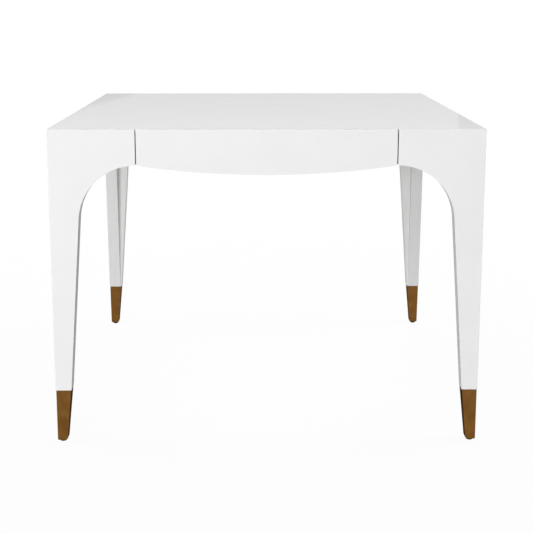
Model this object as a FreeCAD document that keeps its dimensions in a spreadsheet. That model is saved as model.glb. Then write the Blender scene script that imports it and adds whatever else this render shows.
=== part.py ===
"""Square parsons dining table: arched, tapering legs on brass sabots and a fixed, bowed apron.

Frame: origin on the floor under the middle of the top, +X to the right, +Y to the back, +Z up,
in millimetres. The front of the table faces -Y.

Every side of the table is built alike. A piece that belongs to a corner is drawn in the corner
frame, with its origin at that corner of the plan, X along the side to the right of the corner
as seen from outside, and Y inward. A piece that belongs to a side is drawn in the side frame,
with its origin at the middle of the side's outer face, X along the side and Y inward. Both are
turned into place by quarter turns about Z.

Hidden fasteners and the bores that take them are drawn with eight flats instead of round.
"""
import FreeCAD, Part
import math
import os

import Sketcher

Vector = FreeCAD.Vector

# ------------------------------------------------------------------ driving dimensions (mm)
SIZES = [
    ("table_width", 1016, "over the outer faces, along X"),
    ("table_depth", 1016, "over the outer faces, along Y"),
    ("table_height", 762, "floor to top face"),
    ("top_thickness", 25, "tabletop panel"),
    ("board_thickness", 35, "leg boards and apron panels"),

    ("leg_board_length", 203, "outer corner to the joint with the apron panel"),
    ("foot_return", 3, "how far a leg is wider at its foot than its boards are thick"),
    ("arch_radius", 135, "arch between leg and apron"),
    ("corner_round", 3, "corners of leg board and apron at the foot of a reveal"),

    ("apron_end_depth", 85, "top face to lower edge beside the reveals"),
    ("apron_bow", 22, "how much deeper the apron is in its middle"),
    ("reveal_width", 2, "shadow line between leg board and apron panel"),
    ("reveal_depth", 12, "how far the shadow line is sunk"),

    ("glue_gap", 0.1, "clearance around glued and driven pieces"),
    ("dowel_diameter", 8, "apron dowels"),
    ("dowel_length", 40, "apron dowels"),
    ("dowel_edge_inset", 16, "dowel to the upper or lower edge of the joint"),
    ("spline_width", 16, "across the mitre of a leg"),
    ("spline_thickness", 4, "along the mitre of a leg"),
    ("spline_length", 540, "up the leg"),
    ("spline_drop", 40, "underside of the top to the spline"),
    ("spline_inset", 20, "outer faces to the middle of the spline"),

    ("rail_height", 45, "backing rail behind an apron"),
    ("rail_thickness", 22, "backing rail behind an apron"),
    ("rail_end_gap", 5, "corner block to the end of the rail"),
    ("block_height", 45, "corner block"),
    ("block_leg", 85, "corner block, along each board"),
    ("block_end", 14, "corner block, width of its clipped ends"),
    ("batten_width", 70, "cross batten under the top"),
    ("batten_thickness", 20, "cross batten under the top"),
    ("batten_spacing", 300, "between the middles of the two battens"),

    ("screw_diameter", 4, "shank of every wood screw"),
    ("screw_head_diameter", 8, "head of every wood screw"),
    ("screw_head_height", 2.5, "head of every wood screw"),
    ("screw_tip_length", 4, "pointed end of every wood screw"),
    ("rail_screw_length", 45, "rail to boards"),
    ("rail_screw_leg_inset", 39, "apron joint to the screw in the leg board"),
    ("rail_screw_apron_inset", 45, "apron joint to the screw in the apron panel"),
    ("top_screw_length", 60, "rail to top"),
    ("top_screw_spacing", 430, "between the two top screws of a rail"),
    ("batten_screw_length", 35, "batten to top"),
    ("batten_screw_inset", 60, "end of the batten to its outer screw"),
    ("block_screw_length", 35, "corner block to boards"),
    ("block_screw_inset", 15, "end of the corner block to its screw"),
    ("block_seat_depth", 15, "wood between the head of the block's screw and the board"),
    ("counterbore_diameter", 10, "for the heads of the corner block's screws"),

    ("sabot_height", 127, "brass sabot above its glide"),
    ("sabot_inset", 1, "outer faces of the leg to those of the sabot"),
    ("sabot_taper", 12, "width that the sabot loses from top to foot"),
    ("sabot_wall", 2, "side walls"),
    ("sabot_floor", 4.5, "floor under the tenon"),
    ("sabot_inner_round", 7, "foot edges of the two tapering faces"),
    ("sabot_outer_round", 2.5, "foot edges of the two upright faces"),
    ("tenon_end_gap", 0.5, "floor of the sabot to the end of the tenon"),
    ("glide_diameter", 16, "glide under the sabot"),
    ("glide_height", 4, "glide under the sabot"),
    ("glide_chamfer", 1.2, "lower edge of the glide"),
    ("nail_diameter", 2.5, "nail moulded into the glide"),
    ("nail_length", 24, "nail moulded into the glide"),
    ("nail_start", 1.5, "floor to the lower end of the nail"),
    ("nail_tip_length", 3, "pointed end of the nail"),
]

# Corners, a quarter turn apart: name, and the signs of its X and Y.
CORNERS = [
    ("front_left", "-", "-"),
    ("front_right", "+", "-"),
    ("back_right", "+", "+"),
    ("back_left", "-", "+"),
]

# Sides, a quarter turn apart: name, the size it runs along, and its middle.
SIDES = [
    ("front", "table_width", "0", "-Sizes.table_depth / 2"),
    ("right", "table_depth", "Sizes.table_width / 2", "0"),
    ("back", "table_width", "0", "Sizes.table_depth / 2"),
    ("left", "table_depth", "-Sizes.table_width / 2", "0"),
]

# The two leg boards of a side: the one at its left end as seen from outside, its mirror image
# at the right end, and the normal of the plane that mirrors it.
LEG_BOARDS = {
    "front": ("front_left_leg_front_board", "front_right_leg_front_board", Vector(1, 0, 0)),
    "right": ("front_right_leg_side_board", "back_right_leg_side_board", Vector(0, 1, 0)),
    "back": ("back_right_leg_back_board", "back_left_leg_back_board", Vector(1, 0, 0)),
    "left": ("back_left_leg_side_board", "front_left_leg_side_board", Vector(0, 1, 0)),
}

# ------------------------------------------------------------------ derived sizes (expressions)
THICKNESS = "Sizes.board_thickness"
TOP_FACE = "Sizes.table_height"
TOP_UNDERSIDE = "(Sizes.table_height - Sizes.top_thickness)"
ARCH_CROWN = "(Sizes.table_height - Sizes.apron_end_depth)"
SHOULDER = "(Sizes.glide_height + Sizes.sabot_height)"
FOOT_WIDTH = "(Sizes.board_thickness + Sizes.foot_return)"

SABOT_TOP = f"({FOOT_WIDTH} - 2 * Sizes.sabot_inset)"
CAVITY_FLOOR = "(Sizes.glide_height + Sizes.sabot_floor)"
TENON_END = f"({CAVITY_FLOOR} + Sizes.tenon_end_gap)"
TENON_INSET = "(Sizes.sabot_inset + Sizes.sabot_wall + Sizes.glue_gap)"
FOOT_CENTRE = f"(Sizes.sabot_inset + ({SABOT_TOP} - Sizes.sabot_taper) / 2)"
NAIL_TIP = "(Sizes.nail_start + Sizes.nail_length)"

RAIL_BACK = "(Sizes.board_thickness + Sizes.rail_thickness)"
RAIL_CENTRE_Y = "(Sizes.board_thickness + Sizes.rail_thickness / 2)"
RAIL_CENTRE_Z = f"({TOP_UNDERSIDE} - Sizes.rail_height / 2)"
BLOCK_REACH = "(Sizes.board_thickness + Sizes.block_leg)"
BLOCK_CENTRE_Z = f"({TOP_UNDERSIDE} - Sizes.block_height / 2)"
BLOCK_SCREW = f"({BLOCK_REACH} - Sizes.block_screw_inset)"
LEG_RAIL_SCREW = "(Sizes.leg_board_length - Sizes.rail_screw_leg_inset)"
BATTEN_END = f"(Sizes.table_depth / 2 - {RAIL_BACK})"
BATTEN_SCREW = f"({BATTEN_END} - Sizes.batten_screw_inset)"

DOWEL_Y = "((Sizes.reveal_depth + Sizes.board_thickness) / 2)"
DOWEL_HEIGHTS = (f"({TOP_UNDERSIDE} - Sizes.dowel_edge_inset)", f"({ARCH_CROWN} + Sizes.dowel_edge_inset)")
DOWEL_HOLE = "(Sizes.dowel_diameter / 2 + Sizes.glue_gap)"
DOWEL_HOLE_DEPTH = "(Sizes.dowel_length / 2 + Sizes.glue_gap)"
SCREW_HOLE = "(Sizes.screw_diameter / 2 + Sizes.glue_gap)"
NAIL_HOLE = "(Sizes.nail_diameter / 2 + Sizes.glue_gap)"


def sabot_width(height):
    """Outer width of the sabot at a height above the floor."""
    return f"({SABOT_TOP} - Sizes.sabot_taper * ({SHOULDER} - {height}) / Sizes.sabot_height)"


def cavity_width(height):
    """Inner width of the sabot at a height above the floor."""
    return f"({sabot_width(height)} - 2 * Sizes.sabot_wall)"


def tenon_far_face(height):
    """Corner frame: the tapering face of a leg's tenon, from the outer faces, at a height."""
    return f"({TENON_INSET} + {cavity_width(height)} - 2 * Sizes.glue_gap)"


def half_apron(side_size):
    """Middle of a side to its joint with a leg board."""
    return f"(Sizes.{side_size} / 2 - Sizes.leg_board_length)"


document = FreeCAD.newDocument("ParsonsTable")
sheet = document.addObject("Spreadsheet::Sheet", "Sizes")
for row, (alias, size, note) in enumerate(SIZES, start=1):
    sheet.set(f"A{row}", alias)
    sheet.set(f"B{row}", str(size))
    sheet.set(f"C{row}", note)
    sheet.setAlias(f"B{row}", alias)
document.recompute()


def number(expression):
    """Present value of an expression of the sheet."""
    return float(sheet.evalExpression(expression))


# ------------------------------------------------------------------ sketches
def add_sketch(body, purpose, plane, offset="0"):
    """Sketch on an origin plane of the body, moved along the plane's normal."""
    sketch = body.newObject("Sketcher::SketchObject", f"{body.Name}_{purpose}_sketch")
    origin_plane = next(feature for feature in body.Origin.OriginFeatures if feature.Role == plane)
    sketch.AttachmentSupport = [(origin_plane, "")]
    sketch.MapMode = "FlatFace"
    sketch.setExpression("AttachmentOffset.Base.z", offset)
    return sketch


def bind(sketch, constraint, expression):
    """Add a dimension to the sketch and tie it to an expression."""
    index = sketch.addConstraint(constraint)
    sketch.setExpression(f"Constraints[{index}]", expression)


def pin_x(sketch, curve, point, x):
    """Hold a point of a curve at x, which lies on the sketch's upright axis where x is 0."""
    if x == "0":
        sketch.addConstraint(Sketcher.Constraint("PointOnObject", curve, point, -2))
        return
    bind(sketch, Sketcher.Constraint("DistanceX", -1, 1, curve, point, number(x)), x)


def pin_y(sketch, curve, point, y):
    """Hold a point of a curve at y, which lies on the sketch's level axis where y is 0."""
    if y == "0":
        sketch.addConstraint(Sketcher.Constraint("PointOnObject", curve, point, -1))
        return
    bind(sketch, Sketcher.Constraint("DistanceY", -1, 1, curve, point, number(y)), y)


def add_chain(sketch, corners):
    """Straight edges from corner to corner, each corner held at its expressions."""
    points = [Vector(number(x), number(y), 0) for x, y in corners]
    edges = []
    for start, end in zip(points, points[1:]):
        edges.append(sketch.addGeometry(Part.LineSegment(start, end)))
    for before, after in zip(edges, edges[1:]):
        sketch.addConstraint(Sketcher.Constraint("Coincident", before, 2, after, 1))
    for edge, (x, y) in zip(edges, corners):
        pin_x(sketch, edge, 1, x)
        pin_y(sketch, edge, 1, y)
    return edges


def add_polygon(sketch, corners):
    """Closed outline through the corners."""
    edges = add_chain(sketch, corners + corners[:1])
    sketch.addConstraint(Sketcher.Constraint("Coincident", edges[-1], 2, edges[0], 1))


def add_rectangle(sketch, low_x, low_y, high_x, high_y):
    """Closed rectangle between two corners."""
    add_polygon(sketch, [(low_x, low_y), (high_x, low_y), (high_x, high_y), (low_x, high_y)])


def add_octagons(sketch, centres, radius):
    """Equal octagons at the centres, each with a corner on the four axes."""
    for x, y in centres:
        add_polygon(sketch, [
            (f"{x} + {radius} * cos({angle})", f"{y} + {radius} * sin({angle})") for angle in range(0, 360, 45)
        ])


# ------------------------------------------------------------------ features
def pad(body, sketch, length, reverse=False):
    """Raise the sketch by a length."""
    feature = body.newObject("PartDesign::Pad", sketch.Name.replace("_sketch", "_pad"))
    feature.Profile = sketch
    feature.setExpression("Length", length)
    feature.Reversed = reverse


def cut(body, sketch, depth, reverse=False):
    """Cut the sketch into the body to a depth, against its plane's normal unless reversed."""
    feature = body.newObject("PartDesign::Pocket", sketch.Name.replace("_sketch", "_cut"))
    feature.Profile = sketch
    feature.setExpression("Length", depth)
    feature.Reversed = reverse


def cut_through(body, sketch):
    """Cut the sketch through the whole body, both ways."""
    feature = body.newObject("PartDesign::Pocket", sketch.Name.replace("_sketch", "_cut"))
    feature.Profile = sketch
    feature.SideType = "Symmetric"
    feature.Type = "ThroughAll"


def cut_holes(body, purpose, plane, offset, centres, radius, depth, reverse=False):
    """Blind holes of one size and depth, from an offset plane."""
    sketch = add_sketch(body, purpose, plane, offset)
    add_octagons(sketch, centres, radius)
    cut(body, sketch, depth, reverse)


def drill_through(body, purpose, plane, centres, radius):
    """Holes of one size through the whole body."""
    sketch = add_sketch(body, purpose, plane)
    add_octagons(sketch, centres, radius)
    cut_through(body, sketch)


def lean_walls(body, hinge_height, picked, angle):
    """Lean the walls that are picked by their centres outward, hinged at a height."""
    document.recompute()
    base = body.Tip
    height = number(hinge_height)
    walls = []
    for index, face in enumerate(base.Shape.Faces, start=1):
        if abs(face.CenterOfMass.z - height) < 1e-6:
            hinge = f"Face{index}"
        elif picked(face.CenterOfMass):
            walls.append(f"Face{index}")
    feature = body.newObject("PartDesign::Draft", f"{body.Name}_lean")
    feature.Base = (base, walls)
    feature.NeutralPlane = (base, [hinge])
    feature.setExpression("Angle", angle)


def chamfer_low_edge(body, size):
    """Chamfer the edge that lies on the floor."""
    document.recompute()
    base = body.Tip
    low = [f"Edge{index}" for index, edge in enumerate(base.Shape.Edges, start=1)
           if edge.BoundBox.ZMax < 1e-6]
    feature = body.newObject("PartDesign::Chamfer", f"{body.Name}_chamfer")
    feature.Base = (base, low)
    feature.setExpression("Size", size)


# ------------------------------------------------------------------ placing
def corner_frames():
    """Name of each corner with its quarter turns, X and Y."""
    for turns, (name, sign_x, sign_y) in enumerate(CORNERS):
        yield name, (turns, f"{sign_x}Sizes.table_width / 2", f"{sign_y}Sizes.table_depth / 2")


def side_frames():
    """Name of each side, the size it runs along, and its quarter turns, X and Y."""
    for turns, (name, side_size, x, y) in enumerate(SIDES):
        yield name, side_size, (turns, x, y)


def place(piece, frame):
    """Put a piece in a frame, its X and Y bound to the expressions."""
    turns, x, y = frame
    piece.Placement = FreeCAD.Placement(Vector(), FreeCAD.Rotation(Vector(0, 0, 1), 90 * turns))
    piece.setExpression("Placement.Base.x", x)
    piece.setExpression("Placement.Base.y", y)


def placement_now(frame):
    """Present placement of a frame."""
    turns, x, y = frame
    return FreeCAD.Placement(Vector(number(x), number(y), 0), FreeCAD.Rotation(Vector(0, 0, 1), 90 * turns))


def new_body(name):
    """Empty body whose label is the name of its node."""
    body = document.addObject("PartDesign::Body", name)
    body.Label = name
    return body


# ------------------------------------------------------------------ boards that show
def cut_top_mitre(body):
    """Mitre the upper edge to meet the top at the arris, with a flat shoulder that carries it."""
    sketch = add_sketch(body, "top_mitre", "YZ_Plane")
    add_polygon(sketch, [
        ("-Sizes.top_thickness", f"{TOP_FACE} + Sizes.top_thickness"),
        ("Sizes.top_thickness", TOP_UNDERSIDE),
        (f"2 * {THICKNESS}", TOP_UNDERSIDE),
        (f"2 * {THICKNESS}", f"{TOP_FACE} + Sizes.top_thickness"),
    ])
    cut_through(body, sketch)


def draw_leg_outline(sketch):
    """Face of a leg board: tenon, foot, straight taper, arch, joint with the apron, top arris."""
    joint = "Sizes.leg_board_length"
    chain = add_chain(sketch, [
        (joint, TOP_FACE),
        ("0", TOP_FACE),
        ("0", SHOULDER),
        (TENON_INSET, SHOULDER),
        (TENON_INSET, TENON_END),
        (tenon_far_face(TENON_END), TENON_END),
        (tenon_far_face(SHOULDER), SHOULDER),
        (FOOT_WIDTH, SHOULDER),
    ])
    radius = number("Sizes.arch_radius")
    small = number("Sizes.corner_round")
    centre = Vector(number(joint), number(f"{ARCH_CROWN} - Sizes.arch_radius"), 0)
    foot = Vector(number(FOOT_WIDTH), number(SHOULDER), 0)
    spring = centre + Vector(-radius, 0, 0)
    small_centre = centre + Vector(-small, radius + small, 0)
    joint_foot = centre + Vector(0, radius + small, 0)
    joint_top = Vector(number(joint), number(TOP_FACE), 0)
    up = Vector(0, 0, 1)
    taper = sketch.addGeometry(Part.LineSegment(foot, spring))
    arch = sketch.addGeometry(Part.ArcOfCircle(Part.Circle(centre, up, radius), 1.6, 3.1))
    corner = sketch.addGeometry(Part.ArcOfCircle(Part.Circle(small_centre, up, small), -1.57, 0))
    end = sketch.addGeometry(Part.LineSegment(joint_foot, joint_top))
    sketch.addConstraint([
        Sketcher.Constraint("Coincident", chain[-1], 2, taper, 1),
        Sketcher.Constraint("Tangent", taper, 2, arch, 2),
        Sketcher.Constraint("Tangent", arch, 1, corner, 1),
        Sketcher.Constraint("Tangent", corner, 2, end, 1),
        Sketcher.Constraint("Coincident", end, 2, chain[0], 1),
        Sketcher.Constraint("Vertical", end),
    ])
    pin_x(sketch, taper, 1, FOOT_WIDTH)
    pin_y(sketch, taper, 1, SHOULDER)
    pin_x(sketch, arch, 3, joint)
    pin_y(sketch, arch, 3, f"{ARCH_CROWN} - Sizes.arch_radius")
    bind(sketch, Sketcher.Constraint("Radius", arch, radius), "Sizes.arch_radius")
    bind(sketch, Sketcher.Constraint("Radius", corner, small), "Sizes.corner_round")


def spline_corners(gap):
    """Plan of a leg's spline, square across the mitre, larger by a gap all round."""
    across = f"(Sizes.spline_width / 2 + {gap}) / sqrt(2)"
    along = f"(Sizes.spline_thickness / 2 + {gap}) / sqrt(2)"
    middle = "Sizes.spline_inset"
    return [
        (f"{middle} + {across} + {along}", f"{middle} - {across} + {along}"),
        (f"{middle} - {across} + {along}", f"{middle} + {across} + {along}"),
        (f"{middle} - {across} - {along}", f"{middle} + {across} - {along}"),
        (f"{middle} + {across} - {along}", f"{middle} - {across} - {along}"),
    ]


def make_leg_board(name):
    """Leg board at the left end of a side, in the corner frame."""
    body = new_body(name)
    outline = add_sketch(body, "outline", "XZ_Plane")
    draw_leg_outline(outline)
    pad(body, outline, THICKNESS, reverse=True)
    cut_top_mitre(body)

    cheeks = add_sketch(body, "tenon_cheeks", "YZ_Plane")
    add_rectangle(cheeks, f"-{THICKNESS}", "0", TENON_INSET, SHOULDER)
    add_polygon(cheeks, [
        (tenon_far_face(SHOULDER), SHOULDER),
        (tenon_far_face(TENON_END), TENON_END),
        (f"2 * {THICKNESS}", TENON_END),
        (f"2 * {THICKNESS}", SHOULDER),
    ])
    cut_through(body, cheeks)

    mitre = add_sketch(body, "corner_mitre", "XY_Plane")
    add_polygon(mitre, [
        (f"-{THICKNESS}", f"-{THICKNESS}"),
        (f"2 * {THICKNESS}", f"2 * {THICKNESS}"),
        (f"-{THICKNESS}", f"2 * {THICKNESS}"),
    ])
    cut_through(body, mitre)

    spline_top = f"({TOP_UNDERSIDE} - Sizes.spline_drop + Sizes.glue_gap)"
    groove = add_sketch(body, "spline_groove", "XY_Plane", spline_top)
    add_polygon(groove, spline_corners("Sizes.glue_gap"))
    cut(body, groove, "Sizes.spline_length + 2 * Sizes.glue_gap")

    dowel_centres = [(DOWEL_Y, height) for height in DOWEL_HEIGHTS]
    cut_holes(body, "dowel_holes", "YZ_Plane", "Sizes.leg_board_length",
              dowel_centres, DOWEL_HOLE, DOWEL_HOLE_DEPTH)
    cut_holes(body, "rail_screw_hole", "XZ_Plane", f"-{THICKNESS}",
              [(LEG_RAIL_SCREW, RAIL_CENTRE_Z)], SCREW_HOLE,
              "Sizes.rail_screw_length - Sizes.rail_thickness", reverse=True)
    cut_holes(body, "block_screw_hole", "XZ_Plane", f"-{THICKNESS}",
              [(BLOCK_SCREW, BLOCK_CENTRE_Z)], SCREW_HOLE,
              "Sizes.block_screw_length - Sizes.block_seat_depth", reverse=True)
    cut_holes(body, "nail_hole", "XY_Plane", "0",
              [(FOOT_CENTRE, FOOT_CENTRE)], NAIL_HOLE, f"{NAIL_TIP} + Sizes.glue_gap", reverse=True)
    return body


def make_mirrored_board(name, board, normal):
    """Mirror image of a leg board at the other end of its side."""
    mirrored = document.addObject("Part::Mirroring", name)
    mirrored.Label = name
    mirrored.Source = board
    mirrored.Normal = normal


def draw_apron_outline(sketch, side_size, end):
    """Face of an apron panel, bowed below, with rounded corners where the bow meets its ends."""
    half = half_apron(side_size)
    radius = f"(({half} ^ 2 + Sizes.apron_bow ^ 2) / (2 * Sizes.apron_bow))"
    centre_z = f"({ARCH_CROWN} - Sizes.apron_bow + {radius})"
    big = number(radius)
    small = number("Sizes.corner_round")
    reach = number(end)
    inward = reach - small
    centre = Vector(0, number(centre_z), 0)
    offset = Vector(inward, -math.sqrt((big - small) ** 2 - inward ** 2), 0)
    slant = math.atan2(offset.y, offset.x)
    right_centre = centre + offset
    left_centre = Vector(-right_centre.x, right_centre.y, 0)
    top_right = Vector(reach, number(TOP_FACE), 0)
    top_left = Vector(-reach, number(TOP_FACE), 0)
    up = Vector(0, 0, 1)
    top = sketch.addGeometry(Part.LineSegment(top_right, top_left))
    left_end = sketch.addGeometry(Part.LineSegment(top_left, left_centre - Vector(small, 0, 0)))
    left_round = sketch.addGeometry(
        Part.ArcOfCircle(Part.Circle(left_centre, up, small), -math.pi, -math.pi - slant))
    bow = sketch.addGeometry(Part.ArcOfCircle(Part.Circle(centre, up, big), -math.pi - slant, slant))
    right_round = sketch.addGeometry(Part.ArcOfCircle(Part.Circle(right_centre, up, small), slant, 0))
    right_end = sketch.addGeometry(Part.LineSegment(right_centre + Vector(small, 0, 0), top_right))
    sketch.addConstraint([
        Sketcher.Constraint("Coincident", top, 2, left_end, 1),
        Sketcher.Constraint("Tangent", left_end, 2, left_round, 1),
        Sketcher.Constraint("Tangent", left_round, 2, bow, 1),
        Sketcher.Constraint("Tangent", bow, 2, right_round, 1),
        Sketcher.Constraint("Tangent", right_round, 2, right_end, 1),
        Sketcher.Constraint("Coincident", right_end, 2, top, 1),
        Sketcher.Constraint("Vertical", left_end),
        Sketcher.Constraint("Vertical", right_end),
    ])
    pin_x(sketch, top, 1, end)
    pin_y(sketch, top, 1, TOP_FACE)
    pin_x(sketch, top, 2, f"-{end}")
    pin_y(sketch, top, 2, TOP_FACE)
    pin_x(sketch, bow, 3, "0")
    pin_y(sketch, bow, 3, centre_z)
    bind(sketch, Sketcher.Constraint("Radius", bow, big), radius)
    for corner in (left_round, right_round):
        bind(sketch, Sketcher.Constraint("Radius", corner, small), "Sizes.corner_round")


def make_apron(name, side_size):
    """Centre panel of a side in the side frame, its face held back at both ends for the reveals."""
    body = new_body(name)
    end = half_apron(side_size)
    face = add_sketch(body, "face", "XZ_Plane")
    draw_apron_outline(face, side_size, f"({end} - Sizes.reveal_width)")
    pad(body, face, "Sizes.reveal_depth", reverse=True)
    core = add_sketch(body, "core", "XZ_Plane", "-Sizes.reveal_depth")
    draw_apron_outline(core, side_size, end)
    pad(body, core, f"{THICKNESS} - Sizes.reveal_depth", reverse=True)
    cut_top_mitre(body)

    dowel_centres = [(DOWEL_Y, height) for height in DOWEL_HEIGHTS]
    cut_holes(body, "right_dowel_holes", "YZ_Plane", end, dowel_centres, DOWEL_HOLE, DOWEL_HOLE_DEPTH)
    cut_holes(body, "left_dowel_holes", "YZ_Plane", f"-{end}", dowel_centres, DOWEL_HOLE,
              DOWEL_HOLE_DEPTH, reverse=True)
    screw = f"({end} - Sizes.rail_screw_apron_inset)"
    cut_holes(body, "rail_screw_holes", "XZ_Plane", f"-{THICKNESS}",
              [(screw, RAIL_CENTRE_Z), (f"-{screw}", RAIL_CENTRE_Z)], SCREW_HOLE,
              "Sizes.rail_screw_length - Sizes.rail_thickness", reverse=True)
    return body


def top_screw_points():
    """Places of the screws that rise through the rails into the top."""
    across = "Sizes.top_screw_spacing / 2"
    side_x = f"(Sizes.table_width / 2 - {RAIL_CENTRE_Y})"
    side_y = f"(Sizes.table_depth / 2 - {RAIL_CENTRE_Y})"
    points = []
    for sign in ("", "-"):
        points += [(f"{sign}{across}", side_y), (f"{sign}{across}", f"-{side_y}")]
        points += [(side_x, f"{sign}{across}"), (f"-{side_x}", f"{sign}{across}")]
    return points


def batten_screw_points():
    """Places of the screws that rise through the battens into the top."""
    across = "Sizes.batten_spacing / 2"
    points = []
    for y in ("0", BATTEN_SCREW, f"-{BATTEN_SCREW}"):
        points += [(across, y), (f"-{across}", y)]
    return points


def cut_edge_mitres(body, plane, half):
    """Mitre two opposite edges of the top panel from the arris inward."""
    sketch = add_sketch(body, f"{plane[:2].lower()}_mitres", plane)
    low = f"({TOP_FACE} - 2 * Sizes.top_thickness)"
    for sign in ("", "-"):
        add_polygon(sketch, [
            (f"{sign}{half}", TOP_FACE),
            (f"{sign}({half} - 2 * Sizes.top_thickness)", low),
            (f"{sign}({half} + Sizes.top_thickness)", low),
        ])
    cut_through(body, sketch)


def make_tabletop():
    """Top panel, mitred under all four edges, with pilot holes in its underside."""
    body = new_body("tabletop")
    half_x = "(Sizes.table_width / 2)"
    half_y = "(Sizes.table_depth / 2)"
    face = add_sketch(body, "face", "XY_Plane", TOP_FACE)
    add_rectangle(face, f"-{half_x}", f"-{half_y}", half_x, half_y)
    pad(body, face, "Sizes.top_thickness", reverse=True)
    cut_edge_mitres(body, "XZ_Plane", half_x)
    cut_edge_mitres(body, "YZ_Plane", half_y)
    cut_holes(body, "top_screw_holes", "XY_Plane", TOP_UNDERSIDE, top_screw_points(), SCREW_HOLE,
              "Sizes.top_screw_length - Sizes.rail_height", reverse=True)
    cut_holes(body, "batten_screw_holes", "XY_Plane", TOP_UNDERSIDE, batten_screw_points(), SCREW_HOLE,
              "Sizes.batten_screw_length - Sizes.batten_thickness", reverse=True)


# ------------------------------------------------------------------ framing under the top
def make_backing_rail(name, side_size):
    """Rail behind an apron that ties it to the leg boards and to the top, in the side frame."""
    body = new_body(name)
    end = f"(Sizes.{side_size} / 2 - {BLOCK_REACH} - Sizes.rail_end_gap)"
    section = add_sketch(body, "face", "XZ_Plane", f"-{THICKNESS}")
    add_rectangle(section, f"-{end}", f"{TOP_UNDERSIDE} - Sizes.rail_height", end, TOP_UNDERSIDE)
    pad(body, section, "Sizes.rail_thickness", reverse=True)
    drill_through(body, "board_screw_holes", "XZ_Plane",
                  [(x, RAIL_CENTRE_Z) for x in rail_screw_stations(side_size)], SCREW_HOLE)
    top_station = "Sizes.top_screw_spacing / 2"
    drill_through(body, "top_screw_holes", "XY_Plane",
                  [(top_station, RAIL_CENTRE_Y), (f"-{top_station}", RAIL_CENTRE_Y)], SCREW_HOLE)
    return body


def rail_screw_stations(side_size):
    """Places along a side of the screws from its rail into the boards."""
    in_apron = f"({half_apron(side_size)} - Sizes.rail_screw_apron_inset)"
    in_leg = f"({half_apron(side_size)} + Sizes.rail_screw_leg_inset)"
    return [in_apron, f"-{in_apron}", in_leg, f"-{in_leg}"]


def make_corner_block(name):
    """Clipped triangular block in an inner corner, counterbored for its two screws."""
    body = new_body(name)
    clipped = f"({THICKNESS} + Sizes.block_end)"
    plan = add_sketch(body, "plan", "XY_Plane", TOP_UNDERSIDE)
    add_polygon(plan, [
        (THICKNESS, THICKNESS),
        (BLOCK_REACH, THICKNESS),
        (BLOCK_REACH, clipped),
        (clipped, BLOCK_REACH),
        (THICKNESS, BLOCK_REACH),
    ])
    pad(body, plan, "Sizes.block_height", reverse=True)
    seat = f"({THICKNESS} + Sizes.block_seat_depth)"
    centre = [(BLOCK_SCREW, BLOCK_CENTRE_Z)]
    drill_through(body, "front_screw_hole", "XZ_Plane", centre, SCREW_HOLE)
    drill_through(body, "side_screw_hole", "YZ_Plane", centre, SCREW_HOLE)
    head = "Sizes.counterbore_diameter / 2"
    cut_holes(body, "front_counterbore", "XZ_Plane", f"-{seat}", centre, head, "Sizes.block_leg")
    cut_holes(body, "side_counterbore", "YZ_Plane", seat, centre, head, "Sizes.block_leg", reverse=True)
    return body


def make_batten(name, sign):
    """Cross batten under the top, from the front rail to the back rail."""
    body = new_body(name)
    plan = add_sketch(body, "plan", "XY_Plane", TOP_UNDERSIDE)
    half = "Sizes.batten_width / 2"
    add_rectangle(plan, f"-{half}", f"-{BATTEN_END}", half, BATTEN_END)
    pad(body, plan, "Sizes.batten_thickness", reverse=True)
    drill_through(body, "screw_holes", "XY_Plane",
                  [("0", "0"), ("0", BATTEN_SCREW), ("0", f"-{BATTEN_SCREW}")], SCREW_HOLE)
    place(body, (0, f"{sign}Sizes.batten_spacing / 2", "0"))


def make_leg_spline(name):
    """Loose tongue glued across the mitre of a leg."""
    body = new_body(name)
    plan = add_sketch(body, "plan", "XY_Plane", f"({TOP_UNDERSIDE} - Sizes.spline_drop)")
    add_polygon(plan, spline_corners("0"))
    pad(body, plan, "Sizes.spline_length", reverse=True)
    return body


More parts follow.
